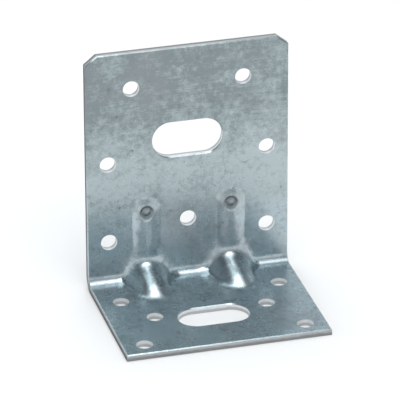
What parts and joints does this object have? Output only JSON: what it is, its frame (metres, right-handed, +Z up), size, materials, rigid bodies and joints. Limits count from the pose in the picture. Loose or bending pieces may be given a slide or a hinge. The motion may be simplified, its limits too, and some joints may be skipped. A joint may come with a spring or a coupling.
{
  "type": "angle bracket",
  "caption": "Folded galvanised steel angle bracket with nail holes and bolt slots in both legs and hollow stiffening ribs pressed across the fold; joins timber at right angles or to concrete.",
  "frame": {"origin": "under the middle of the bracket's box, in the plane of the base's underside", "axes": "+Z up along the tall leg, +Y towards the tall leg's back face, +X across the bracket"},
  "size_m": [0.062, 0.0488, 0.0762],
  "materials": {
    "galvanised_steel": "hot-dip galvanised sheet, satin blue-grey with faint spangle and rolling lines"
  },
  "bodies": {
    "root": {"angle_bracket": "galvanised_steel"}
  },
  "joints": []
}
